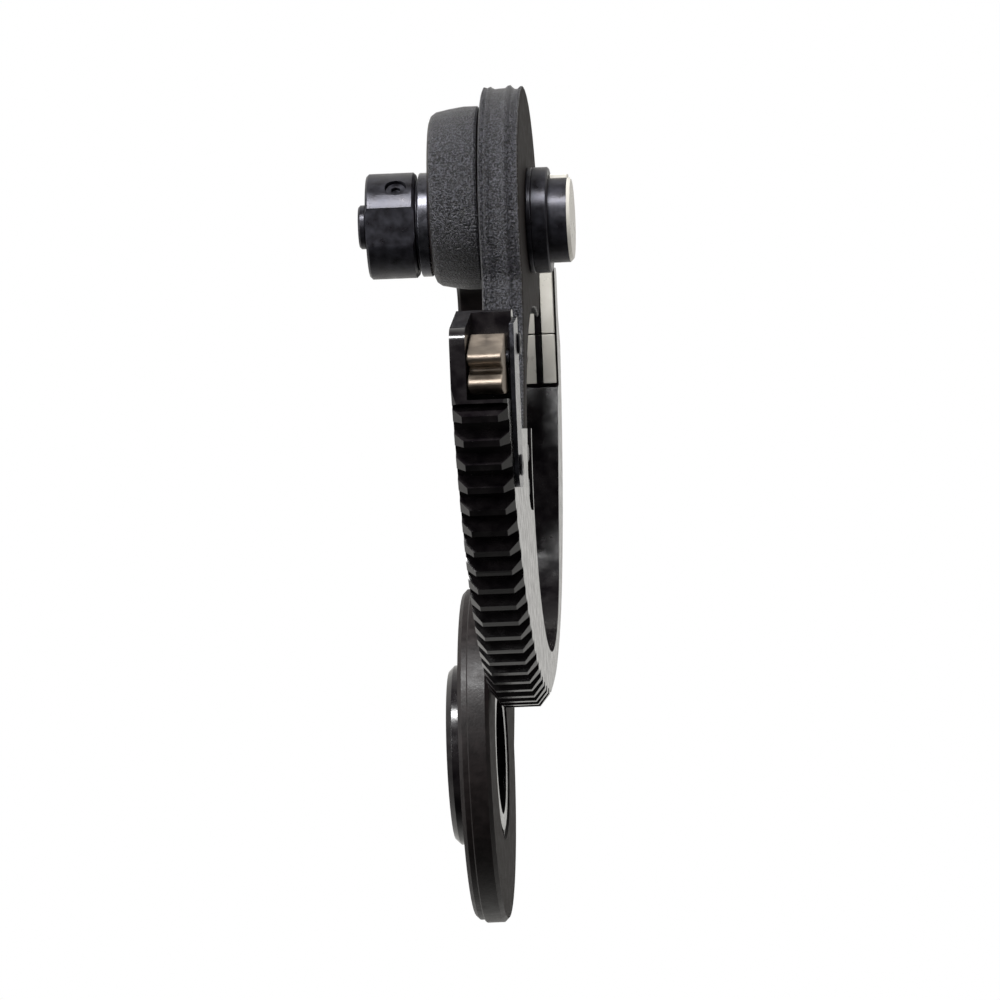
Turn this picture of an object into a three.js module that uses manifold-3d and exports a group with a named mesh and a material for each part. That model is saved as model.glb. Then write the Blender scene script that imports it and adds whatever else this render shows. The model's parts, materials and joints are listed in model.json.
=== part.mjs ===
// A geared hook-jaw filter wrench. A toothed jaw swings on a drive shaft beside a C-shaped frame,
// whose lower ring carries a turning hub for the pinion key that drives the teeth.
//
// Millimetres, +Z up. The drive shaft lies along X with its plain end face at X = 0 and the tool
// on the -X side. -Y is the toothed front, +Y is the back of the jaw.
import * as THREE from "three";
import { mergeVertices } from "three/addons/utils/BufferGeometryUtils.js";
import Module from "manifold-3d";

const wasm = await Module();
wasm.setup();

// ---------------------------------------------------------------- driving dimensions (mm)
const GAP = 0.3; // clearance between pieces that are cut to fit each other
const RUNNING_FIT = 0.1; // radial clearance of what turns or slides on the shaft

const SECTOR = {
  x0: -23.9,
  x1: -10.1,
  tipRadius: 121.6,
  toothDepth: 4.3,
  firstAngle: 24.0, // degrees below the -Y axis
  pitchAngle: 3.158,
  teeth: 21,
  tipLand: 1.7,
  rootWidth: 3.9,
  chamferWidth: 2.4,
  chamferDepth: 3.0,
};
const OPENING = { y: 8.5, z: -66, r: 42, endAngle: -25 };
const HOOK = { wallY: 69.2, top: -11.5, ledgeZ: -41, crestY: 76.5 };
const HEAD = { frontY: -111, backY: -80, cheekX: -20, wallY: -86, floorZ: -44.6, windowZ: -52 };

const ARM = { x0: -21.25, x1: -10.9, bossRadius: 34.3, lapX: -16.6, lapBottom: -72, clearOpening: 2 };
const LAP_Z = HEAD.windowZ + GAP;

const FRAME = { x0: -32.75, x1: -24.8, barTop: 24, barBottom: -15.5, innerY: 54, outerY: 84 };
const BOSS = { x0: -34.75, x1: -22.25, z: 6.25, r: 22.9, bore: 12.3 };
const RING = { y: 25, z: -133, r: 42.3, stepRadius: 41.5, stepX: -30.4, bore: 21.75 };

const SHAFT = { r: 9.5, endRadius: 10.8, flangeRadius: 13.25, flangeX0: -9.45, flangeX1: -5.5, x0: -50.6 };
const COLLAR = { x0: -51.1, x1: -38.8, r: 13.2, flatDrop: 12.2 };
const NECK = { x0: -38, x1: -35.25, r: 13 };
const HUB = {
  capX0: -37.25,
  capX1: -33.05,
  capRadius: 22.5,
  journal: 19.3,
  well: 15.2,
  wellX: -31.5,
  grooveX0: -26.5,
  grooveX1: -25.3,
  keySide: 12.9,
};

const PIN = { y: -94, z: -34.5, r: 1.9 };
const BLOCK = { x0: -19.7, x1: -11.1, backY: -88 };
const COVER = { x0: -10.0, x1: -8.9 };
const SPRING = { x: -15.2, z: -40.5, turns: 3.5, wire: 0.32, coilRadius: 1.6, wellRadius: 2.4 };
const RIVET = { r: 2.5, hole: 2.7 };
const COVER_SCREW = { headRadius: 2.8, shankRadius: 1.6, hole: 1.9, hex: 2.2 };
const PAD = { thickness: 3, hole: 1.7, counterbore: 2.9, grooveX0: -15.4, grooveX1: -13.7, grooveDepth: 1.2 };
const PAD_SCREW = { x: -20.3, headRadius: 2.65, shankRadius: 1.5, hexRadius: 1.2 };
const KEY = { half: 1.9, seatHalf: 2.1 };
const SET_SCREW = { x: -43.4, angle: 47, r: 2.5, hexRadius: 1.25 };
const END_SCREW = { x0: -53.5, headRadius: 5.5, shankRadius: 3.9, hex: 5 };

// ---------------------------------------------------------------- finishes
const FINISH = {
  forged: { color: 0x2b2b2e, roughness: 0.62, metalness: 0.7 },
  gloss: { color: 0x17161a, roughness: 0.22, metalness: 0.5 },
  machined: { color: 0x2a292d, roughness: 0.38, metalness: 0.8 },
  nickel: { color: 0xa4978a, roughness: 0.34, metalness: 0.9 },
  ground: { color: 0xc9c6bb, roughness: 0.28, metalness: 0.9 },
  bronze: { color: 0x9a7440, roughness: 0.4, metalness: 0.9 },
  spring: { color: 0x6d6d72, roughness: 0.35, metalness: 0.9 },
};

// ---------------------------------------------------------------- solids
const rad = THREE.MathUtils.degToRad;

// Turns (Y, Z, X) extrusion coordinates into the part's (X, Y, Z).
const ALONG_X = new THREE.Matrix4().set(0, 0, 1, 0, 1, 0, 0, 0, 0, 1, 0, 0, 0, 0, 0, 1);

// A closed geometry as a manifold-3d solid with its faces pointing out.
function solid(geometry) {
  const bare = geometry.clone();
  bare.deleteAttribute("normal");
  bare.deleteAttribute("uv");
  const merged = mergeVertices(bare, 1e-4);
  const build = (triVerts) =>
    new wasm.Manifold(
      new wasm.Mesh({ numProp: 3, vertProperties: merged.attributes.position.array, triVerts }),
    );
  const triVerts = new Uint32Array(merged.index.array);
  const made = build(triVerts);
  if (made.volume() > 0) return made;
  for (let i = 0; i < triVerts.length; i += 3) {
    [triVerts[i + 1], triVerts[i + 2]] = [triVerts[i + 2], triVerts[i + 1]];
  }
  return build(triVerts);
}

// A manifold-3d solid as a named mesh.
function part(name, made, finish) {
  const mesh = made.getMesh();
  const stride = mesh.numProp;
  const points = new Float32Array(mesh.numVert * 3);
  for (let i = 0; i < mesh.numVert; i++) {
    points.set(mesh.vertProperties.subarray(i * stride, i * stride + 3), i * 3);
  }
  const geometry = new THREE.BufferGeometry();
  geometry.setAttribute("position", new THREE.BufferAttribute(points, 3));
  geometry.setIndex(new THREE.BufferAttribute(new Uint32Array(mesh.triVerts), 1));
  geometry.computeVertexNormals();
  const result = new THREE.Mesh(geometry, new THREE.MeshStandardMaterial(FINISH[finish]));
  result.name = name;
  return result;
}

// An outline in (Y, Z) as a plate from x0 to x1, its edges bevelled when bevel is given.
function slab(shape, x0, x1, { bevel = 0, curveSegments = 14 } = {}) {
  const geometry = new THREE.ExtrudeGeometry(shape, {
    depth: x1 - x0 - 2 * bevel,
    bevelEnabled: bevel > 0,
    bevelThickness: bevel,
    bevelSize: bevel,
    bevelOffset: -bevel,
    bevelSegments: 1,
    curveSegments,
  });
  geometry.translate(0, 0, x0 + bevel);
  geometry.applyMatrix4(ALONG_X);
  return solid(geometry);
}

// A closed profile of [x, radius] points turned about the line (Y, Z) = (y, z) along X.
function turned(profile, { y = 0, z = 0, segments = 32 } = {}) {
  const points = profile.map(([x, r]) => new THREE.Vector2(r, x));
  const geometry = new THREE.LatheGeometry(points, segments);
  geometry.rotateZ(-Math.PI / 2);
  geometry.translate(0, y, z);
  return solid(geometry);
}

// A disc or, with an inner radius, a ring, its outer edges chamfered by c.
function disc(x0, x1, r, { inner = 0, c = 0.4, y = 0, z = 0, segments = 32 } = {}) {
  const profile = [
    [x0, inner],
    [x0, r - c],
    [x0 + c, r],
    [x1 - c, r],
    [x1, r - c],
    [x1, inner],
  ];
  if (inner > 0) profile.push([x0, inner]);
  return turned(profile, { y, z, segments });
}

function box(x0, x1, y0, y1, z0, z1) {
  const geometry = new THREE.BoxGeometry(x1 - x0, y1 - y0, z1 - z0);
  geometry.translate((x0 + x1) / 2, (y0 + y1) / 2, (z0 + z1) / 2);
  return solid(geometry);
}

// A round bar of radius r from one point to another.
function rod(from, to, r, segments = 20) {
  const start = new THREE.Vector3(...from);
  const along = new THREE.Vector3(...to).sub(start);
  const geometry = new THREE.CylinderGeometry(r, r, along.length(), segments);
  geometry.translate(0, along.length() / 2, 0);
  const up = new THREE.Vector3(0, 1, 0);
  geometry.applyQuaternion(new THREE.Quaternion().setFromUnitVectors(up, along.clone().normalize()));
  geometry.translate(start.x, start.y, start.z);
  return solid(geometry);
}

// A hexagon-socket cut of the given width across flats, along X.
function hexSocket(x0, x1, acrossFlats, y, z) {
  return disc(x0, x1, acrossFlats / Math.sqrt(3), { c: 0.01, y, z, segments: 6 });
}

// ---------------------------------------------------------------- jaw outlines
// The point of the sector at a radius and an angle in degrees below the -Y axis.
function onSector(radius, degrees) {
  const a = rad(degrees);
  return new THREE.Vector2(-radius * Math.cos(a), -radius * Math.sin(a));
}

function traceTeeth(shape) {
  const root = SECTOR.tipRadius - SECTOR.toothDepth;
  const halfTip = THREE.MathUtils.radToDeg(SECTOR.tipLand / 2 / SECTOR.tipRadius);
  const halfRoot = THREE.MathUtils.radToDeg(SECTOR.rootWidth / 2 / root);
  for (let k = 0; k < SECTOR.teeth; k++) {
    const middle = SECTOR.firstAngle + k * SECTOR.pitchAngle;
    const corners = [
      onSector(root, middle - halfRoot),
      onSector(SECTOR.tipRadius, middle - halfTip),
      onSector(SECTOR.tipRadius, middle + halfTip),
      onSector(root, middle + halfRoot),
    ];
    corners.forEach((p) => shape.lineTo(p.x, p.y));
  }
}

// Head, teeth, swept back, hook tip, opening and window, in that order.
function jawOutline() {
  const shape = new THREE.Shape();
  shape.moveTo(HEAD.backY, -25);
  shape.quadraticCurveTo(HEAD.backY, -22, HEAD.backY - 3, -22.4);
  shape.lineTo(HEAD.frontY + 4, -26.6);
  shape.quadraticCurveTo(HEAD.frontY, -27.4, HEAD.frontY, -31.5);
  shape.lineTo(HEAD.frontY, -45.5);
  traceTeeth(shape);
  shape.lineTo(0, -118);
  shape.splineThru(
    [
      [24, -111.5],
      [47, -97],
      [64.5, -75],
      [75, -51],
      [80, -31],
    ].map(([y, z]) => new THREE.Vector2(y, z)),
  );
  shape.lineTo(HOOK.crestY, -24);
  shape.lineTo(HOOK.crestY, HOOK.top - 2.5);
  shape.quadraticCurveTo(HOOK.crestY, HOOK.top, HOOK.crestY - 2.5, HOOK.top);
  shape.lineTo(HOOK.wallY, HOOK.top);
  shape.lineTo(HOOK.wallY, HOOK.ledgeZ);
  shape.lineTo(HOOK.wallY - 3.2, HOOK.ledgeZ - 0.6);
  const windowCorner = Math.asin((HEAD.windowZ - OPENING.z) / OPENING.r);
  shape.absarc(OPENING.y, OPENING.z, OPENING.r, rad(OPENING.endAngle), Math.PI - windowCorner, true);
  shape.lineTo(HEAD.backY + 9, HEAD.windowZ);
  shape.quadraticCurveTo(HEAD.backY, HEAD.windowZ, HEAD.backY, HEAD.windowZ + 9);
  return shape;
}

// The arm's outline: shaft boss, front edge, lap end and the back edge that follows the opening.
function armOutline(grow = 0) {
  const r = ARM.bossRadius + grow;
  const clear = OPENING.r + ARM.clearOpening - grow;
  const shape = new THREE.Shape();
  const bossEnds = [-46, 205]; // degrees above the +Y axis
  shape.absarc(0, 0, r, rad(bossEnds[0]), rad(bossEnds[1]), false);
  shape.lineTo(-33.5 - grow, -28);
  shape.quadraticCurveTo(-37.5 - grow, -40, -45.5 - grow, LAP_Z);
  shape.lineTo(-49 - grow, -62);
  const bottom = ARM.lapBottom - grow;
  shape.quadraticCurveTo(-49 - grow, bottom, -41, bottom);
  const lapAngle = Math.PI + Math.asin((OPENING.z - bottom) / clear);
  shape.lineTo(OPENING.y + clear * Math.cos(lapAngle), bottom);
  shape.absarc(OPENING.y, OPENING.z, clear, lapAngle, rad(72), true);
  return shape;
}

// ---------------------------------------------------------------- jaw pieces
const RIVETS = [
  { y: -41, z: -58 },
  { y: -43, z: -66.5 },
];
const COVER_SCREWS = [
  { y: -83.5, z: -31 },
  { y: -92, z: -61 },
];

function sectorJaw() {
  const tip = SECTOR.tipRadius;
  const rim = tip - SECTOR.chamferDepth;
  const envelope = turned(
    [
      [SECTOR.x0, 0],
      [SECTOR.x0, rim],
      [SECTOR.x0 + SECTOR.chamferWidth, tip],
      [SECTOR.x1 - SECTOR.chamferWidth, tip],
      [SECTOR.x1, rim],
      [SECTOR.x1, 0],
    ],
    { segments: 90 },
  );
  const grown = slab(jawOutline(), SECTOR.x0, SECTOR.x1);
  const lapPocket = slab(armOutline(GAP), ARM.lapX - GAP, 0);
  const headCut = box(HEAD.cheekX, 0, -130, HEAD.wallY, HEAD.floorZ, 0);
  const springWell = rod(
    [SPRING.x, HEAD.wallY - 1, SPRING.z],
    [SPRING.x, HEAD.wallY + 3.5, SPRING.z],
    SPRING.wellRadius,
  );
  let made = grown.intersect(envelope).subtract(lapPocket).subtract(headCut).subtract(springWell);
  RIVETS.forEach(({ y, z }) => {
    made = made.subtract(disc(-30, 0, RIVET.hole, { y, z, segments: 24 }));
  });
  COVER_SCREWS.forEach(({ y, z }) => {
    made = made.subtract(disc(-18, 0, COVER_SCREW.hole, { y, z, segments: 20 }));
  });
  made = made.subtract(disc(-30, 0, PIN.r + GAP / 2, { y: PIN.y, z: PIN.z, segments: 20 }));
  padScrewPlaces().forEach(({ x, z }) => {
    made = made.subtract(rod([x, HOOK.wallY - 1, z], [x, HOOK.wallY + 4.4, z], PAD.hole));
  });
  return made;
}

function forgedArm() {
  let made = slab(armOutline(), ARM.x0, ARM.x1);
  made = made.subtract(box(-40, ARM.lapX, -80, 40, -90, LAP_Z));
  made = made.subtract(disc(-40, 10, SHAFT.r + RUNNING_FIT));
  made = made.subtract(box(-40, 10, -KEY.seatHalf, KEY.seatHalf, 0, SHAFT.r + KEY.seatHalf));
  RIVETS.forEach(({ y, z }) => {
    made = made.subtract(disc(-40, 10, RIVET.hole, { y, z, segments: 24 }));
  });
  return made;
}

// The jaw body's rivets, flush on the left face and slightly proud on the right.
function armRivet({ y, z }) {
  return disc(SECTOR.x0 + 0.1, ARM.x1 + 0.5, RIVET.r, { c: 0.5, y, z, segments: 24 });
}

function padScrewPlaces() {
  return [
    { x: PAD_SCREW.x, z: -20 },
    { x: PAD_SCREW.x, z: -34.3 },
  ];
}

// A ground pad on the hook's inner wall, counterbored for its screw, with a groove along its face.
function gripPad(z0, z1, { x, z }) {
  const back = HOOK.wallY - 0.1;
  const front = back - PAD.thickness;
  return box(SECTOR.x0 + 0.5, SECTOR.x1 - 0.5, front, back, z0, z1)
    .subtract(rod([x, 0, z], [x, 80, z], PAD.hole))
    .subtract(rod([x, 60, z], [x, HOOK.wallY - 1.5, z], PAD.counterbore))
    .subtract(box(PAD.grooveX0, PAD.grooveX1, front - 1, front + PAD.grooveDepth, z0 - 1, z1 + 1));
}

function padScrew({ x, z }) {
  const { headRadius, shankRadius, hexRadius } = PAD_SCREW;
  const head = rod([x, HOOK.wallY - 2.9, z], [x, HOOK.wallY - 1.6, z], headRadius);
  const shank = rod([x, HOOK.wallY - 1.8, z], [x, HOOK.wallY + 4.1, z], shankRadius);
  const hex = rod([x, HOOK.wallY - 3.2, z], [x, HOOK.wallY - 2.1, z], hexRadius, 6);
  return head.add(shank).subtract(hex);
}

// A thin plate over the open side of the head, which keeps the tooth block in.
function coverPlate() {
  const shape = new THREE.Shape();
  shape.moveTo(-81.5, -24.2);
  shape.lineTo(-95, -26);
  shape.lineTo(-97, -44);
  shape.lineTo(-95.5, -63);
  shape.absarc(-92, -63, 3.5, Math.PI, 1.5 * Math.PI, false);
  shape.lineTo(-84.5, -66.5);
  shape.quadraticCurveTo(-81.5, -66.5, -81.5, -62);
  let made = slab(shape, COVER.x0, COVER.x1);
  COVER_SCREWS.forEach(({ y, z }) => {
    made = made.subtract(disc(-20, 0, COVER_SCREW.hole, { y, z, segments: 20 }));
  });
  return made;
}

function coverScrew({ y, z }) {
  const { headRadius, shankRadius, hex } = COVER_SCREW;
  const head = disc(COVER.x1 + 0.05, COVER.x1 + 0.75, headRadius, { y, z, c: 0.35, segments: 24 });
  const shank = disc(-17.6, COVER.x1 + 0.3, shankRadius, { y, z, segments: 16 });
  return head.add(shank).subtract(hexSocket(COVER.x1 + 0.35, COVER.x1 + 3, hex, y, z));
}

// Two rounded teeth at the sector's pitch on a small rocking block.
function toothBlock() {
  const shape = new THREE.Shape();
  shape.moveTo(BLOCK.backY, -43.2);
  shape.lineTo(BLOCK.backY, -28.8);
  shape.lineTo(-95.5, -28.4);
  shape.lineTo(-109.5, -33);
  shape.quadraticCurveTo(-111.5, -34.1, -109.8, -35.6);
  shape.lineTo(-107, -36.4);
  shape.quadraticCurveTo(-106, -37.2, -107, -38);
  shape.lineTo(-109.6, -39.4);
  shape.quadraticCurveTo(-111.4, -41, -109.2, -42.2);
  shape.lineTo(-104, -43.4);
  return slab(shape, BLOCK.x0, BLOCK.x1, { bevel: 0.25, curveSegments: 6 })
    .subtract(disc(-30, 0, PIN.r + GAP / 2, { y: PIN.y, z: PIN.z, segments: 20 }));
}

function toothBlockPin() {
  return disc(SECTOR.x0 + 0.2, COVER.x0 - 0.15, PIN.r, { y: PIN.y, z: PIN.z, c: 0.3, segments: 20 });
}

// A short compression spring between the head's wall and the tooth block.
function toothBlockSpring() {
  const { x, z, turns, wire, coilRadius } = SPRING;
  const from = HEAD.wallY + 2.6;
  const to = BLOCK.backY + 1.3;
  const helix = new THREE.Curve();
  helix.getPoint = (t) => {
    const a = t * turns * 2 * Math.PI;
    const y = from + wire + (to - from) * t - 2 * wire * t;
    return new THREE.Vector3(x + coilRadius * Math.cos(a), y, z + coilRadius * Math.sin(a));
  };
  const section = new THREE.Shape();
  section.absarc(0, 0, wire, 0, 2 * Math.PI, false);
  const options = { steps: 40, extrudePath: helix, curveSegments: 3, bevelEnabled: false };
  return solid(new THREE.ExtrudeGeometry(section, options));
}

// ---------------------------------------------------------------- shaft pieces
function driveShaft() {
  const { r, endRadius, flangeRadius, flangeX0, flangeX1, x0 } = SHAFT;
  let made = turned([
    [x0, 0],
    [x0, r - 0.8],
    [x0 + 0.8, r],
    [flangeX0, r],
    [flangeX0, flangeRadius],
    [flangeX1 - 0.4, flangeRadius],
    [flangeX1, flangeRadius - 0.4],
    [flangeX1, endRadius],
    [-0.8, endRadius],
    [0, endRadius - 0.8],
    [0, 0],
  ]);
  made = made.subtract(box(-5.2, -0.7, -2.8, 2.8, endRadius - 1.4, 20));
  made = made.subtract(box(-20, -12, -KEY.seatHalf, KEY.seatHalf, r - 2, 20));
  return made.subtract(disc(x0 - 1, x0 + 12, 4.2, { c: 0.2, segments: 24 }));
}

function driveKey() {
  const r = SHAFT.endRadius;
  return box(-5.1, -0.8, -2.6, 2.6, r - 1.3, r + 0.45);
}

function armKey() {
  return box(-19.8, -12.2, -KEY.half, KEY.half, SHAFT.r - 1.8, SHAFT.r + 1.8);
}

function setScrewLine(r0, r1) {
  const a = rad(SET_SCREW.angle);
  const at = (r) => [SET_SCREW.x, -r * Math.cos(a), r * Math.sin(a)];
  return [at(r0), at(r1)];
}

// A shaft collar with a flat milled on its front and a radial set screw at its upper front.
function lockCollar() {
  const flat = slab(flatShape(), COLLAR.x0 - 1, COLLAR.x1 + 1);
  return disc(COLLAR.x0, COLLAR.x1, COLLAR.r, { inner: SHAFT.r + RUNNING_FIT, c: 0.6, segments: 40 })
    .subtract(flat)
    .subtract(rod(...setScrewLine(5, 15), SET_SCREW.r + 0.2));
}

// What the collar's flat removes: all that lies before an upright plane, up to a step near the top.
function flatShape() {
  const d = COLLAR.flatDrop;
  const shape = new THREE.Shape();
  shape.moveTo(-d, 4.5);
  shape.lineTo(-d - 6, 4.5);
  shape.lineTo(-d - 6, -16);
  shape.lineTo(-d, -16);
  return shape;
}

function setScrew() {
  return rod(...setScrewLine(SHAFT.r + 0.15, 12.1), SET_SCREW.r)
    .subtract(rod(...setScrewLine(11, 14), SET_SCREW.hexRadius, 6));
}

function endScrew() {
  const { x0, headRadius, shankRadius, hex } = END_SCREW;
  return disc(x0, COLLAR.x0 - 0.35, headRadius, { c: 0.5 })
    .add(disc(-52, SHAFT.x0 + 9, shankRadius, { c: 0.3, segments: 24 }))
    .subtract(hexSocket(x0 - 1, -51.8, hex, 0, 0));
}

function washer(x0, x1, r, inner = SHAFT.r + RUNNING_FIT) {
  return disc(x0, x1, r, { inner, c: 0.2 });
}

// ---------------------------------------------------------------- frame pieces
// Top bar, backbone and the run into the ring.
function backboneOutline() {
  const shape = new THREE.Shape();
  shape.moveTo(0, FRAME.barTop);
  shape.lineTo(0, FRAME.barBottom);
  shape.lineTo(35, FRAME.barBottom);
  shape.quadraticCurveTo(41, FRAME.barBottom, 41.5, -21);
  shape.quadraticCurveTo(44, -34, FRAME.innerY, -46);
  shape.lineTo(FRAME.innerY, -80);
  shape.quadraticCurveTo(FRAME.innerY, -93, 44, -96);
  shape.lineTo(RING.y, RING.z);
  shape.lineTo(62, RING.z - 4);
  shape.quadraticCurveTo(FRAME.outerY - 2, -118, FRAME.outerY - 1, -88);
  shape.lineTo(FRAME.outerY, -20);
  shape.quadraticCurveTo(FRAME.outerY, FRAME.barTop, 46, FRAME.barTop);
  return shape;
}

function cFrame() {
  const { y, z, r, stepRadius, stepX, bore } = RING;
  const ring = turned(
    [
      [FRAME.x0, 0],
      [FRAME.x0, stepRadius - 1],
      [FRAME.x0 + 1, stepRadius],
      [stepX, stepRadius],
      [stepX, r - 0.3],
      [stepX + 0.3, r],
      [FRAME.x1 - 1, r],
      [FRAME.x1, r - 1],
      [FRAME.x1, 0],
    ],
    { y, z, segments: 64 },
  );
  const boss = turned(
    [
      [BOSS.x0, 0],
      [BOSS.x0, BOSS.r - 3.2],
      [BOSS.x0 + 0.5, BOSS.r - 2],
      [BOSS.x0 + 1.6, BOSS.r - 1.2],
      [BOSS.x0 + 5, BOSS.r - 0.5],
      [BOSS.x0 + 8.5, BOSS.r],
      [BOSS.x1 - 0.5, BOSS.r],
      [BOSS.x1, BOSS.r - 0.5],
      [BOSS.x1, 0],
    ],
    { z: BOSS.z, segments: 40 },
  );
  const backbone = slab(backboneOutline(), FRAME.x0, FRAME.x1, { bevel: 0.8, curveSegments: 16 });
  return boss
    .add(backbone)
    .add(ring)
    .subtract(disc(-60, 10, BOSS.bore))
    .subtract(disc(-60, 10, bore, { y, z, segments: 40 }));
}

function bossBushing() {
  return disc(BOSS.x0 + 0.1, BOSS.x1 - 0.1, BOSS.bore - 0.1, { inner: SHAFT.r + 0.2, c: 0.3 });
}

function hubLiner() {
  const { y, z, bore } = RING;
  return disc(FRAME.x0 + 0.1, -26.7, bore - 0.15, { inner: HUB.journal + 0.3, c: 0.3, y, z, segments: 40 });
}

function hubRotor() {
  const { capX0, capX1, capRadius, journal, well, wellX, grooveX0, grooveX1, keySide } = HUB;
  const { y, z } = RING;
  const right = FRAME.x1 - 0.3;
  const groove = journal - 1.1;
  const made = turned(
    [
      [capX0, 0],
      [capX0, capRadius - 1.4],
      [capX0 + 1.4, capRadius],
      [capX1 - 0.8, capRadius],
      [capX1, capRadius - 0.8],
      [capX1, journal],
      [grooveX0, journal],
      [grooveX0, groove],
      [grooveX1, groove],
      [grooveX1, journal],
      [right, journal],
      [right, well],
      [wellX, well],
      [wellX, 0],
    ],
    { y, z, segments: 40 },
  );
  const half = keySide / 2;
  return made.subtract(box(-60, 0, y - half, y + half, z - half, z + half));
}

// A snap ring in the rotor's groove, open at the bottom.
function hubSnapRing() {
  const { y, z, bore } = RING;
  const inner = HUB.journal - 0.95;
  return disc(HUB.grooveX0 + 0.15, HUB.grooveX1 - 0.15, bore - 0.35, { inner, c: 0.15, y, z, segments: 40 })
    .subtract(box(-30, -20, y - 3, y + 3, z - 30, z));
}

// ---------------------------------------------------------------- assembly
const frame = new THREE.Group();
frame.add(
  part("c_frame", cFrame(), "gloss"),
  part("boss_bushing", bossBushing(), "bronze"),
  part("hub_liner", hubLiner(), "bronze"),
);

const hub = new THREE.Group();
hub.add(part("hub_rotor", hubRotor(), "gloss"), part("hub_snap_ring", hubSnapRing(), "spring"));

const jaw = new THREE.Group();
const pads = padScrewPlaces();
jaw.add(
  part("sector_jaw", sectorJaw(), "gloss"),
  part("forged_arm", forgedArm(), "forged"),
  part("grip_pad_upper", gripPad(-28, -11.8, pads[0]), "ground"),
  part("grip_pad_lower", gripPad(-40.6, -28.3, pads[1]), "ground"),
  part("cover_plate", coverPlate(), "spring"),
  part("tooth_block_pin", toothBlockPin(), "machined"),
  part("tooth_block_spring", toothBlockSpring(), "spring"),
);
RIVETS.forEach((place, i) => jaw.add(part("arm_rivet_" + (i + 1), armRivet(place), "machined")));
COVER_SCREWS.forEach((place, i) => jaw.add(part("cover_screw_" + (i + 1), coverScrew(place), "machined")));
pads.forEach((place, i) => jaw.add(part("pad_screw_" + (i + 1), padScrew(place), "machined")));

const block = new THREE.Group();
block.add(part("tooth_block", toothBlock(), "nickel"));

const shaft = new THREE.Group();
shaft.add(
  part("drive_shaft", driveShaft(), "machined"),
  part("drive_key", driveKey(), "ground"),
  part("arm_key", armKey(), "spring"),
  part("side_washer", washer(ARM.x1 + 0.05, SHAFT.flangeX0 - 0.05, SHAFT.flangeRadius), "machined"),
  part("thrust_washer", washer(BOSS.x1 + 0.1, ARM.x0 - 0.1, 16), "bronze"),
  part("neck_ring", washer(NECK.x0, NECK.x1, NECK.r), "ground"),
  part("collar_spacer", washer(COLLAR.x1 + 0.05, NECK.x0 - 0.05, 11.4), "machined"),
  part("lock_collar", lockCollar(), "machined"),
  part("set_screw", setScrew(), "machined"),
  part("end_screw", endScrew(), "machined"),
);

const wrench = new THREE.Group();
wrench.add(frame, hub, jaw, block, shaft);

export default wrench;
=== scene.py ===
"""Looks for the geared hook-jaw oil filter wrench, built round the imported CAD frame.

Each sub-assembly is a class that makes its pieces and dresses them. Lengths are in metres, apart
from those whose names end in _mm.
"""

import json
import logging
import math
from dataclasses import dataclass
from enum import Enum
from typing import Callable

import bpy
import bmesh
from mathutils import Euler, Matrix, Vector

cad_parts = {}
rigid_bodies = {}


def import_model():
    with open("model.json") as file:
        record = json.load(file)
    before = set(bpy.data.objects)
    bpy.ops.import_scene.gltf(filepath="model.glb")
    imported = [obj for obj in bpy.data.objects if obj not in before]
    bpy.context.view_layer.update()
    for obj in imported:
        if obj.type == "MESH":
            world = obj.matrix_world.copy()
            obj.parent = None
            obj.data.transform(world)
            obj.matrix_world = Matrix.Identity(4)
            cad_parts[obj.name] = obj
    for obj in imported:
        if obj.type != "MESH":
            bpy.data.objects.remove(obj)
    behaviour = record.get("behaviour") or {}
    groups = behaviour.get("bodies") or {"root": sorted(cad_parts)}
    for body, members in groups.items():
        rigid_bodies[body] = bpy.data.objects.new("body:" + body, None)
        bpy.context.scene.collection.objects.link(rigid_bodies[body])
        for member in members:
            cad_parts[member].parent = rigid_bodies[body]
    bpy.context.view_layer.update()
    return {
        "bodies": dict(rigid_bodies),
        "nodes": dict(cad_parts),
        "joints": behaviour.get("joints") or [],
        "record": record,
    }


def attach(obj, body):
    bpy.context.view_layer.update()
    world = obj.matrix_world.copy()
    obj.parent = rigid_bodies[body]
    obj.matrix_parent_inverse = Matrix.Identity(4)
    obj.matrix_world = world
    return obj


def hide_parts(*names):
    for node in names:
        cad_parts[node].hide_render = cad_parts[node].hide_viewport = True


MM = 0.001
LOG = logging.getLogger("wrench")

# Says, from a face's middle in millimetres and its normal, whether the face is chosen.
FaceTest = Callable[[Vector, Vector], bool]


class Slot(str, Enum):
    """Material slots of the record."""

    FRAME = "frame_gloss"
    JAW = "jaw_gloss"
    FORGED = "forged_black"
    MACHINED = "machined_black"
    NICKEL = "nickel"
    GROUND = "ground_steel"
    BRONZE = "bronze"
    SPRING = "spring_steel"


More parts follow.
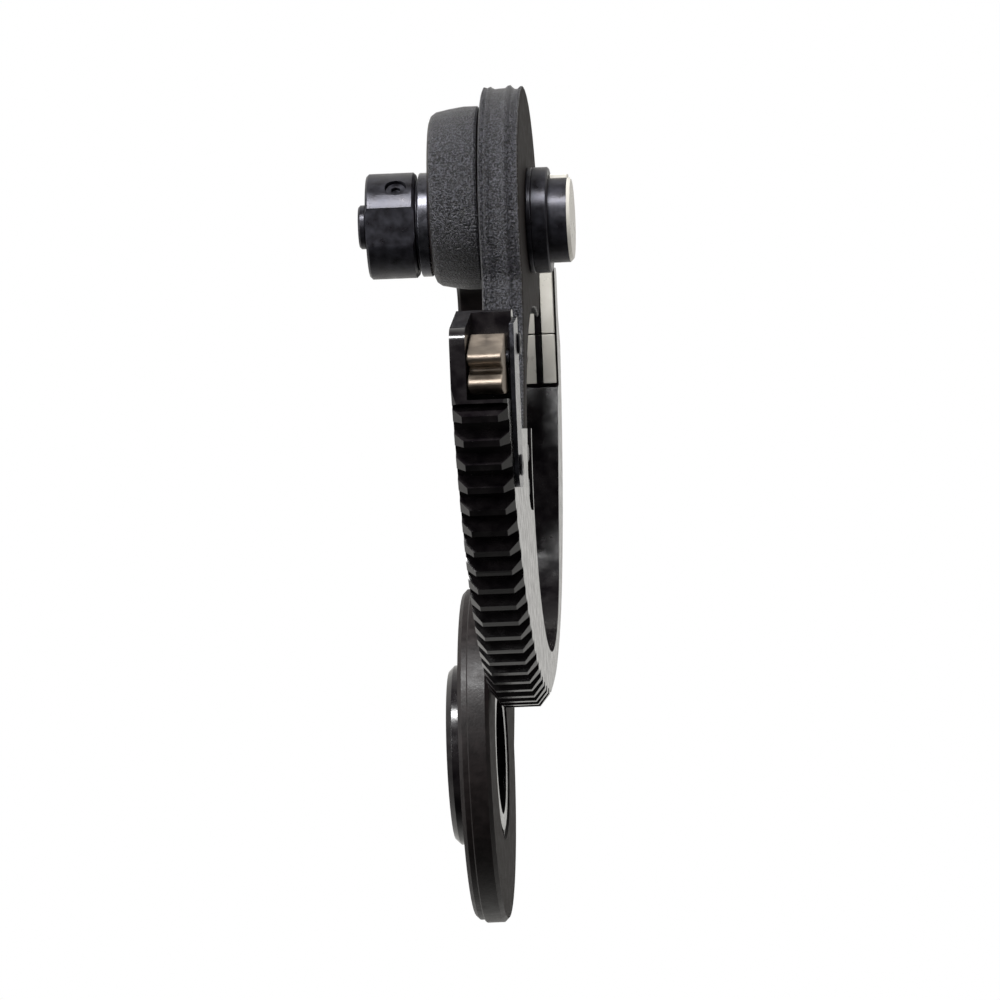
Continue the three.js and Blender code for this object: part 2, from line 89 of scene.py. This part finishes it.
@dataclass(frozen=True)
class Finish:
    """One surface: its colours, gloss and the scale of its grain.

    Args:
        name: material name.
        dark: colour of the hollows of the mottling; on the forged finish, whose mottling has the
            bump's scale, painted shade in the bump's hollows.
        light: colour of its crests; on the forged finish, painted highlights on the bump's
            crests.
        light: colour of its crests.
        metallic: how metallic the surface is.
        rough_low: roughness where it is polished.
        rough_high: roughness where it is dull.
        grain: mottling cells per metre.
        bump_scale: bump cells per metre.
        bump_mm: height of the bump in millimetres.
        brushed: stretch of the bump along X, 1 for an even grain.
        anisotropic: strength of a turned or ground streak.
        specular: strength of the plain gloss.
        ramp: where the mottling turns from dark to light.
        mottle_detail: octaves of the mottling.
        bump_detail: octaves of the bump.
        gloss_range: the part of the mottling over which the roughness changes.
    """

    name: str
    dark: tuple
    light: tuple
    metallic: float
    rough_low: float
    rough_high: float
    grain: float
    bump_scale: float
    bump_mm: float
    brushed: float = 1.0
    anisotropic: float = 0.0
    specular: float = 0.5
    ramp: tuple = (0.35, 0.7)
    mottle_detail: float = 6.0
    bump_detail: float = 3.0
    gloss_range: tuple = (0.3, 0.7)

    def build(self) -> bpy.types.Material:
        """Makes the node material.

        Returns:
            The new material, reading Object coordinates only.
        """
        made = bpy.data.materials.new(self.name)
        made.use_nodes = True
        tree = made.node_tree
        shader = tree.nodes["Principled BSDF"]
        shader.inputs["Metallic"].default_value = self.metallic
        shader.inputs["Anisotropic"].default_value = self.anisotropic
        shader.inputs["Specular IOR Level"].default_value = self.specular
        place = tree.nodes.new("ShaderNodeTexCoord")
        self.mottle_and_painted_crests(tree, place, shader)
        self.relief(tree, place, shader)
        return made

    def mottle_and_painted_crests(
        self, tree: bpy.types.NodeTree, place: bpy.types.Node, shader: bpy.types.Node
    ) -> None:
        """Varies the colour and the roughness together: a random mottling, which on the forged
        finish follows the bump and paints highlights on its crests and shade in its hollows.

        Args:
            tree: the material's nodes.
            place: the texture coordinates.
            shader: the surface shader.
        """
        mottle_and_painted_crests = tree.nodes.new("ShaderNodeTexNoise")
        mottle_and_painted_crests.inputs["Scale"].default_value = self.grain
        mottle_and_painted_crests.inputs["Detail"].default_value = self.mottle_detail
        tree.links.new(place.outputs["Object"], mottle_and_painted_crests.inputs["Vector"])

        colour = tree.nodes.new("ShaderNodeValToRGB")
        stops = zip(colour.color_ramp.elements, self.ramp, (self.dark, self.light))
        for stop, position, shade in stops:
            stop.position = position
            stop.color = (*shade, 1.0)
        tree.links.new(mottle_and_painted_crests.outputs["Fac"], colour.inputs["Fac"])
        tree.links.new(colour.outputs["Color"], shader.inputs["Base Color"])

        gloss = tree.nodes.new("ShaderNodeMapRange")
        gloss.inputs["From Min"].default_value = self.gloss_range[0]
        gloss.inputs["From Max"].default_value = self.gloss_range[1]
        gloss.inputs["To Min"].default_value = self.rough_low
        gloss.inputs["To Max"].default_value = self.rough_high
        tree.links.new(mottle_and_painted_crests.outputs["Fac"], gloss.inputs["Value"])
        tree.links.new(gloss.outputs["Result"], shader.inputs["Roughness"])

    def relief(
        self, tree: bpy.types.NodeTree, place: bpy.types.Node, shader: bpy.types.Node
    ) -> None:
        """Adds the fine bumps or brush marks.

        Args:
            tree: the material's nodes.
            place: the texture coordinates.
            shader: the surface shader.
        """
        stretch = tree.nodes.new("ShaderNodeMapping")
        stretch.inputs["Scale"].default_value = (1.0 / self.brushed, 1.0, 1.0)
        tree.links.new(place.outputs["Object"], stretch.inputs["Vector"])
        grain = tree.nodes.new("ShaderNodeTexNoise")
        grain.inputs["Scale"].default_value = self.bump_scale
        grain.inputs["Detail"].default_value = self.bump_detail
        tree.links.new(stretch.outputs["Vector"], grain.inputs["Vector"])
        bump = tree.nodes.new("ShaderNodeBump")
        bump.inputs["Strength"].default_value = 1.0
        bump.inputs["Distance"].default_value = self.bump_mm * MM
        tree.links.new(grain.outputs["Fac"], bump.inputs["Height"])
        tree.links.new(bump.outputs["Normal"], shader.inputs["Normal"])


# Dull flat black for the flat right sides of the frame and the arm: painted shade, a copy with
# little gloss so that those sides stay dark instead of reflecting the bright surround.
SIDE_SHADE_FLAT_BLACK = Finish("flat_black_painted_side_shade", (0.018, 0.014, 0.013), (0.032, 0.026, 0.024), 0.0,
                    0.62, 0.8, 420, 1500, 0.06, specular=0.12)

FINISHES = {
    Slot.FRAME: Finish("frame_gloss", (0.010, 0.008, 0.008), (0.018, 0.014, 0.014), 0.0,
                       0.36, 0.48, 420, 1500, 0.05, specular=0.22),
    Slot.JAW: Finish("jaw_gloss", (0.004, 0.003, 0.004), (0.014, 0.012, 0.013), 0.0,
                     0.12, 0.24, 300, 1200, 0.015, specular=0.4),
    # Forged black: its mottling has the bump's scale, so the light colour is painted highlight
    # on the pebble crests and the dark colour painted shade in the hollows, on top of a random
    # uneven tone.
    Slot.FORGED: Finish("forged_black", (0.004, 0.004, 0.005), (0.085, 0.085, 0.1), 0.1,
                        0.28, 0.42, 2100, 2100, 0.8, specular=0.5, ramp=(0.44, 0.66)),
    Slot.MACHINED: Finish("machined_black", (0.016, 0.015, 0.019), (0.045, 0.045, 0.056), 0.6,
                          0.26, 0.42, 420, 2600, 0.03, brushed=0.2, anisotropic=0.4),
    Slot.NICKEL: Finish("satin_nickel", (0.24, 0.2, 0.165), (0.34, 0.29, 0.24), 1.0,
                        0.5, 0.62, 300, 2400, 0.07, brushed=6.0, anisotropic=0.4),
    Slot.GROUND: Finish("ground_steel", (0.84, 0.81, 0.73), (0.93, 0.9, 0.83), 0.1,
                        0.25, 0.36, 240, 2200, 0.03, brushed=0.15, anisotropic=0.3),
    Slot.BRONZE: Finish("sintered_bronze", (0.26, 0.15, 0.06), (0.46, 0.3, 0.13), 1.0,
                        0.35, 0.5, 800, 3000, 0.05),
    Slot.SPRING: Finish("blued_spring_steel", (0.03, 0.03, 0.036), (0.09, 0.09, 0.105), 0.8,
                        0.2, 0.34, 400, 1800, 0.02, brushed=4.0),
}


class Workshop:
    """Makes finished pieces from the frame's nodes."""

    weld_mm = 0.002
    flat_degrees = 0.6
    bevel_degrees = 28
    smooth_degrees = 32

    def __init__(self, frame: dict) -> None:
        """Builds the finishes and the lists of each node's body and slot.
        """
        record = frame["record"]
        bodies = record["behaviour"]["bodies"]
        self.nodes = frame["nodes"]
        self.finishes = {slot: finish.build() for slot, finish in FINISHES.items()}
        self.side_shade_flat_black = SIDE_SHADE_FLAT_BLACK.build()
        self.body_of = {node: body for body, held in bodies.items() for node in held}
        self.slot_of = {s["node"]: Slot(s["material_slot"]) for s in record["subparts"]}

    def copy_mesh(self, node: str, name: str) -> bpy.types.Object:
        """Copies a node's mesh into a new object with its seams welded.

        Args:
            node: the CAD node.
            name: name of the new piece.

        Returns:
            The new object at the origin.
        """
        source = self.nodes[node]
        mesh = bpy.data.meshes.new(name)
        bm = bmesh.new()
        bm.from_mesh(source.data)
        bm.transform(source.matrix_world)
        bmesh.ops.remove_doubles(bm, verts=bm.verts, dist=self.weld_mm * MM)
        flat = math.radians(self.flat_degrees)
        bmesh.ops.dissolve_limit(bm, angle_limit=flat, verts=bm.verts, edges=bm.edges)
        bmesh.ops.recalc_face_normals(bm, faces=bm.faces)
        bm.to_mesh(mesh)
        bm.free()
        piece = bpy.data.objects.new(name, mesh)
        bpy.context.collection.objects.link(piece)
        return piece

    def select_only(self, piece: bpy.types.Object) -> None:
        """Makes a piece the only selected object and the active one."""
        bpy.ops.object.select_all(action="DESELECT")
        piece.select_set(True)
        bpy.context.view_layer.objects.active = piece

    def apply(self, piece: bpy.types.Object) -> None:
        """Applies all of a piece's modifiers."""
        self.select_only(piece)
        for modifier in list(piece.modifiers):
            bpy.ops.object.modifier_apply(modifier=modifier.name)

    def shade(self, piece: bpy.types.Object, degrees: float = smooth_degrees) -> None:
        """Shades a piece smooth, apart from its sharp edges.

        Args:
            piece: the piece.
            degrees: the angle past which an edge stays sharp.
        """
        self.select_only(piece)
        bpy.ops.object.shade_smooth_by_angle(angle=math.radians(degrees))

    def dress(self, piece: bpy.types.Object, node: str, slot: Slot | None = None) -> None:
        """Gives a piece its finish and its body, and hides the node that it stands for.

        Args:
            piece: the piece.
            node: the CAD node.
            slot: the finish, where it isn't the record's for that node.
        """
        chosen = slot or self.slot_of[node]
        piece.data.materials.clear()
        piece.data.materials.append(self.finishes[chosen])
        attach(piece, self.body_of[node])
        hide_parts(node)

    def touch_up(
        self, piece: bpy.types.Object, finish: bpy.types.Material, wanted: FaceTest
    ) -> None:
        """Gives some of a piece's faces another finish.

        Args:
            piece: the dressed piece.
            finish: the material of the chosen faces.
            wanted: says which faces are chosen.
        """
        piece.data.materials.append(finish)
        index = len(piece.data.materials) - 1
        for face in piece.data.polygons:
            if wanted(face.center / MM, face.normal):
                face.material_index = index

    def refine(
        self, node: str, bevel_mm: float, segments: int = 2, slot: Slot | None = None
    ) -> bpy.types.Object:
        """Makes a piece with broken edges and smooth turned faces from a node.

        Args:
            node: the CAD node.
            bevel_mm: width of the broken edges.
            segments: bevel segments.
            slot: the finish, where it isn't the record's for that node.

        Returns:
            The dressed piece.
        """
        piece = self.copy_mesh(node, node + "_piece")
        bevel = piece.modifiers.new("edges", "BEVEL")
        bevel.width = bevel_mm * MM
        bevel.segments = segments
        bevel.limit_method = "ANGLE"
        bevel.angle_limit = math.radians(self.bevel_degrees)
        self.apply(piece)
        self.shade(piece)
        evened = piece.modifiers.new("even_faces", "WEIGHTED_NORMAL")
        evened.keep_sharp = True
        self.apply(piece)
        self.dress(piece, node, slot)
        return piece


@dataclass(frozen=True)
class ForgingSizes:
    """How the drop-forged arm's skin is rounded, crowned and ridged.

    Args:
        voxel_mm: size of the skin's cells.
        smoothing: strength of each round of smoothing.
        rounds: how many rounds there are.
        ridges_x: where the two ridges stand along the shaft's line.
        ridge_height: height of a ridge.
        ridge_width: half its width.
        crown_x: the middle of the edge's crown.
        crown_depth: how far the crown has fallen at its width.
        crown_width: distance from the middle over which it falls.
        bore_clear: radius round the bore that is left alone.
        edge_reach: how soon the shaping fades towards the flat sides.
        smooth_degrees: angle past which an edge stays sharp.
    """

    voxel_mm: float = 0.5
    smoothing: float = 0.5
    rounds: int = 50
    ridges_x: tuple = (-14.4 * MM, -19.4 * MM)
    ridge_height: float = 0.9 * MM
    ridge_width: float = 0.7 * MM
    crown_x: float = -16.1 * MM
    crown_depth: float = 0.8 * MM
    crown_width: float = 4.6 * MM
    bore_clear: float = 14 * MM
    edge_reach: float = 1.6
    smooth_degrees: float = 60


@dataclass(frozen=True)
class Jaw:
    """The toothed jaw, its forged arm, the head and its tooth block.

    Args:
        shop: the workshop that makes the pieces.
        forging: how the arm is shaped.
        body_edge_mm: broken edge of the toothed jaw.
        plate_edge_mm: broken edge of the pads, the cover plate and the pin.
        screw_edge_mm: broken edge of the rivets and the cover's screws.
        pad_screw_edge_mm: broken edge of the pads' screws.
        spring_edge_mm: broken edge of the spring's cut ends.
        block_edge_mm: broken edge of the tooth block.
        side_normal: how squarely a face looks to the right to count as the flat side.
        groove_x_mm: the pads' groove, from its left wall to its right one.
        groove_y_mm: the groove, from its mouth to its floor.
        groove_normal: how little a groove's face may look to the back.
    """

    shop: Workshop
    forging: ForgingSizes = ForgingSizes()
    body_edge_mm: float = 0.28
    plate_edge_mm: float = 0.2
    screw_edge_mm: float = 0.12
    pad_screw_edge_mm: float = 0.05
    spring_edge_mm: float = 0.02
    block_edge_mm: float = 0.3
    side_normal: float = 0.93
    groove_x_mm: tuple = (-15.6, -13.5)
    groove_y_mm: tuple = (66.3, 67.5)
    groove_normal: float = 0.5

    def on_right_side(self, middle: Vector, normal: Vector) -> bool:
        """Says whether a face is on the arm's flat right side, which gets the dull flat black as
        painted shade.
        """
        return normal.x > self.side_normal

    def in_groove(self, middle: Vector, normal: Vector) -> bool:
        """Says whether a pad's face lies in the groove along its front."""
        left, right = self.groove_x_mm
        mouth, floor = self.groove_y_mm
        inside = left < middle.x < right and mouth < middle.y < floor
        return inside and normal.y < self.groove_normal

    def skin(self, piece: bpy.types.Object) -> None:
        """Gives a piece an even, rounded skin."""
        remesh = piece.modifiers.new("skin", "REMESH")
        remesh.mode = "VOXEL"
        remesh.voxel_size = self.forging.voxel_mm * MM
        smooth = piece.modifiers.new("rounding", "SMOOTH")
        smooth.factor = self.forging.smoothing
        smooth.iterations = self.forging.rounds
        self.shop.apply(piece)

    def edge_move(self, vert: bmesh.types.BMVert) -> float:
        """Works out how far a point of the arm's edge moves out.

        Args:
            vert: the point.

        Returns:
            The distance along the point's normal, negative where it sinks.
        """
        sizes = self.forging
        side = 1.0 - min(1.0, abs(vert.normal.x) * sizes.edge_reach)
        radius = math.hypot(vert.co.y, vert.co.z)
        if radius <= sizes.bore_clear or side <= 0:
            return 0.0
        reach = min(abs(vert.co.x - x) for x in sizes.ridges_x) / sizes.ridge_width
        off_middle = (vert.co.x - sizes.crown_x) / sizes.crown_width
        ridge = sizes.ridge_height * (math.exp(-reach * reach) - 1.0)
        return (ridge - sizes.crown_depth * off_middle * off_middle) * side

    def forged_arm(self) -> bpy.types.Object:
        """Rounds the arm like a forging and leaves two ridges round its edge.

        Returns:
            The dressed arm.
        """
        piece = self.shop.copy_mesh("forged_arm", "forged_arm_piece")
        self.skin(piece)
        bm = bmesh.new()
        bm.from_mesh(piece.data)
        bm.normal_update()
        moves = [self.edge_move(vert) for vert in bm.verts]
        for vert, move in zip(bm.verts, moves):
            vert.co += vert.normal * move
        bm.to_mesh(piece.data)
        bm.free()
        self.shop.shade(piece, self.forging.smooth_degrees)
        self.shop.dress(piece, "forged_arm")
        # The arm's flat right side: painted shade with the dull flat black.
        self.shop.touch_up(piece, self.shop.side_shade_flat_black, self.on_right_side)
        return piece

    def grip_pad(self, node: str) -> bpy.types.Object:
        """Makes a ground pad with a dark groove.

        Args:
            node: the pad's CAD node.

        Returns:
            The dressed pad.
        """
        pad = self.shop.refine(node, self.plate_edge_mm)
        self.shop.touch_up(pad, self.shop.finishes[Slot.JAW], self.in_groove)
        return pad

    def build(self) -> list[bpy.types.Object]:
        """Makes every piece of the jaw and returns them."""
        refine = self.shop.refine
        made = [self.forged_arm(), refine("sector_jaw", self.body_edge_mm)]
        for node in ("cover_plate", "tooth_block_pin"):
            made.append(refine(node, self.plate_edge_mm))
        for node in ("grip_pad_upper", "grip_pad_lower"):
            made.append(self.grip_pad(node))
        for node in ("arm_rivet_1", "arm_rivet_2", "cover_screw_1", "cover_screw_2"):
            made.append(refine(node, self.screw_edge_mm))
        for node in ("pad_screw_1", "pad_screw_2"):
            made.append(refine(node, self.pad_screw_edge_mm, 1, Slot.GROUND))
        made.append(refine("tooth_block_spring", self.spring_edge_mm, 1))
        made.append(refine("tooth_block", self.block_edge_mm, 3))
        return made


@dataclass(frozen=True)
class ShaftStack:
    """Everything threaded on the drive shaft.

    Args:
        shop: the workshop that makes the pieces.
        shaft_edge_mm: broken edge of the shaft.
        collar_edge_mm: broken edge of the lock collar.
        neck_edge_mm: broken edge of the neck ring.
        washer_edge_mm: broken edge of the washers and the end screw.
        key_edge_mm: broken edge of the keys and the set screw.
        bare_x_mm: where the shaft's bare end begins.
        bare_normal: how squarely a bare face looks along the shaft.
    """

    shop: Workshop
    shaft_edge_mm: float = 0.3
    collar_edge_mm: float = 0.35
    neck_edge_mm: float = 0.2
    washer_edge_mm: float = 0.15
    key_edge_mm: float = 0.12
    bare_x_mm: float = -0.95
    bare_normal: float = 0.3

    def on_bare_end(self, middle: Vector, normal: Vector) -> bool:
        """Says whether a face is on the shaft's ground end or its chamfer."""
        return middle.x > self.bare_x_mm and normal.x > self.bare_normal

    def build(self) -> list[bpy.types.Object]:
        """Makes the shaft, keys, washers, collar and screws and returns them."""
        refine = self.shop.refine
        shaft = refine("drive_shaft", self.shaft_edge_mm)
        self.shop.touch_up(shaft, self.shop.finishes[Slot.GROUND], self.on_bare_end)
        made = [shaft, refine("lock_collar", self.collar_edge_mm, 3)]
        made.append(refine("neck_ring", self.neck_edge_mm, 2, Slot.SPRING))
        for node in ("collar_spacer", "side_washer", "thrust_washer", "end_screw"):
            made.append(refine(node, self.washer_edge_mm))
        for node in ("drive_key", "arm_key", "set_screw"):
            made.append(refine(node, self.key_edge_mm))
        return made


@dataclass(frozen=True)
class Frame:
    """The C-shaped frame with its hub.

    Args:
        shop: the workshop that makes the pieces.
        frame_edge_mm: broken edge of the frame.
        hub_edge_mm: broken edge of the hub's cap.
        bush_edge_mm: broken edge of the bushes and the snap ring.
        boss_z_mm: height of the upper boss's middle above the pivot.
        boss_radius_mm: radius that holds the whole boss.
        rim_normal: how squarely a face may look along the shaft and still be on the boss's rim.
        side_normal: how squarely a face looks to the right to count as the flat side.
    """

    shop: Workshop
    frame_edge_mm: float = 0.5
    hub_edge_mm: float = 0.4
    bush_edge_mm: float = 0.12
    boss_z_mm: float = 6.25
    boss_radius_mm: float = 23.4
    rim_normal: float = 0.9
    side_normal: float = 0.93

    def on_boss(self, middle: Vector, normal: Vector) -> bool:
        """Says whether a face is on the rim of the upper boss, which keeps its forged skin with
        the forged finish's painted crest highlights.
        """
        near = math.hypot(middle.y, middle.z - self.boss_z_mm) < self.boss_radius_mm
        return near and abs(normal.x) < self.rim_normal

    def on_right_side(self, middle: Vector, normal: Vector) -> bool:
        """Says whether a face is on the flat right side, which gets the dull flat black without
        gloss, as painted shade.
        """
        return normal.x > self.side_normal

    def build(self) -> list[bpy.types.Object]:
        """Makes the frame, its bushes and the hub and returns them."""
        refine = self.shop.refine
        body = refine("c_frame", self.frame_edge_mm, 3)
        self.shop.touch_up(body, self.shop.finishes[Slot.FORGED], self.on_boss)
        # The frame's flat right side: painted shade with the dull flat black.
        self.shop.touch_up(body, self.shop.side_shade_flat_black, self.on_right_side)
        made = [body, refine("hub_rotor", self.hub_edge_mm, 3, Slot.JAW)]
        for node in ("boss_bushing", "hub_liner", "hub_snap_ring"):
            made.append(refine(node, self.bush_edge_mm))
        return made


@dataclass(frozen=True)
class Softbox:
    """An area light that faces the tool.

    Args:
        name: name of the light.
        place: where it stands.
        size: width and height.
        watts: its power.
    """

    name: str
    place: tuple
    size: tuple
    watts: float

    def build(self, aim: Vector) -> None:
        """Sets up the light.

        Args:
            aim: the point that it faces.
        """
        data = bpy.data.lights.new(self.name, "AREA")
        data.shape = "RECTANGLE"
        data.size, data.size_y = self.size
        data.energy = self.watts
        light = bpy.data.objects.new(self.name, data)
        light.location = self.place
        towards = aim - Vector(self.place)
        light.rotation_euler = towards.to_track_quat("-Z", "Y").to_euler()
        bpy.context.collection.objects.link(light)


SOFTBOXES = (
    Softbox("key", (-0.2, -0.95, 1.25), (0.6, 0.25), 36.0),
    Softbox("front_fill", (-0.5, -1.7, 0.5), (0.14, 0.6), 5.0),
    Softbox("right_strip", (1.0, -1.25, 0.5), (0.12, 0.6), 2.5),
    Softbox("left_rim", (-1.2, -0.35, 0.25), (0.2, 0.7), 9.0),
)


@dataclass(frozen=True)
class Studio:
    """Camera, lights, pale floor and white surround, in metres and degrees.

    Args:
        aim: the point that the camera and the lights face.
        distance: from that point to the camera.
        lens: focal length in millimetres.
        sensor: sensor width in millimetres.
        far_clip: how far the camera sees.
        yaw: turn of the camera to the right of the tool's front.
        roll: tilt of the camera about its own line of sight.
        floor_z: height of the floor.
        floor_side: length of the floor's side.
        floor_colour: its colour.
        floor_roughness: its roughness.
        surround_colour: tint of the light from all round.
        surround_span: from front to back, where that light begins and stops rising.
        surround_strength: its strength in front and behind.
    """

    aim: tuple = (-0.021, 0.0, -0.0695)
    distance: float = 8.333
    lens: float = 1200.0
    sensor: float = 36.0
    far_clip: float = 40.0
    yaw: float = 4.22
    roll: float = -2.3
    floor_z: float = -0.32
    floor_side: float = 1.5
    floor_colour: tuple = (0.86, 0.86, 0.85, 1.0)
    floor_roughness: float = 0.8
    surround_colour: tuple = (1.0, 0.985, 0.95, 1.0)
    surround_span: tuple = (-0.15, 0.45)
    surround_strength: tuple = (0.05, 0.8)

    def camera(self) -> None:
        """Sets the long-lens camera a little to the right of the tool's front."""
        data = bpy.data.cameras.new("camera")
        data.lens = self.lens
        data.sensor_width = self.sensor
        data.clip_end = self.far_clip
        camera = bpy.data.objects.new("camera", data)
        yaw = math.radians(self.yaw)
        back = Vector((math.sin(yaw), -math.cos(yaw), 0.0))
        camera.location = Vector(self.aim) + self.distance * back
        level = Euler((math.pi / 2, 0.0, yaw)).to_matrix()
        turn = Euler((0.0, 0.0, math.radians(self.roll))).to_matrix()
        camera.rotation_euler = (level @ turn).to_euler()
        bpy.context.collection.objects.link(camera)
        bpy.context.scene.camera = camera

    def surround(self) -> None:
        """A surround that is white behind the tool and dim in front of it."""
        world = bpy.data.worlds.new("surround")
        bpy.context.scene.world = world
        world.use_nodes = True
        nodes = world.node_tree.nodes
        links = world.node_tree.links
        out = nodes["World Output"]
        lit = nodes["Background"]
        place = nodes.new("ShaderNodeTexCoord")
        split = nodes.new("ShaderNodeSeparateXYZ")
        links.new(place.outputs["Generated"], split.inputs["Vector"])
        ramp = nodes.new("ShaderNodeMapRange")
        ramp.inputs["From Min"].default_value = self.surround_span[0]
        ramp.inputs["From Max"].default_value = self.surround_span[1]
        ramp.inputs["To Min"].default_value = self.surround_strength[0]
        ramp.inputs["To Max"].default_value = self.surround_strength[1]
        links.new(split.outputs["Y"], ramp.inputs["Value"])
        lit.inputs["Color"].default_value = self.surround_colour
        links.new(ramp.outputs["Result"], lit.inputs["Strength"])
        plain = nodes.new("ShaderNodeBackground")
        plain.inputs["Color"].default_value = (1.0, 1.0, 1.0, 1.0)
        path = nodes.new("ShaderNodeLightPath")
        mix = nodes.new("ShaderNodeMixShader")
        links.new(path.outputs["Is Camera Ray"], mix.inputs["Fac"])
        links.new(lit.outputs["Background"], mix.inputs[1])
        links.new(plain.outputs["Background"], mix.inputs[2])
        links.new(mix.outputs["Shader"], out.inputs["Surface"])

    def floor(self) -> None:
        """A plain pale floor well below the tool, which throws no light back up at it."""
        bpy.ops.mesh.primitive_plane_add(size=self.floor_side, location=(0.0, 0.0, 0.0))
        floor = bpy.context.object
        floor.name = "floor"
        for vert in floor.data.vertices:
            vert.co.z = self.floor_z
        pale = bpy.data.materials.new("pale_floor")
        pale.use_nodes = True
        shader = pale.node_tree.nodes["Principled BSDF"]
        shader.inputs["Base Color"].default_value = self.floor_colour
        shader.inputs["Roughness"].default_value = self.floor_roughness
        floor.data.materials.append(pale)
        floor.visible_diffuse = False
        floor.visible_glossy = False

    def build(self) -> None:
        """Sets up the whole studio."""
        bpy.context.scene.view_settings.view_transform = "Standard"
        self.camera()
        self.surround()
        self.floor()
        for softbox in SOFTBOXES:
            softbox.build(Vector(self.aim))


def main() -> None:
    """Loads the frame, makes the studio and every piece, and logs each piece's face count."""
    logging.basicConfig(level=logging.INFO, format="%(message)s")
    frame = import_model()
    Studio().build()
    shop = Workshop(frame)
    for assembly in (Frame(shop), Jaw(shop), ShaftStack(shop)):
        for piece in assembly.build():
            LOG.info("made %s, %d faces", piece.name, len(piece.data.polygons))
        LOG.info("finished %s", type(assembly).__name__)


if __name__ == "__main__":
    main()
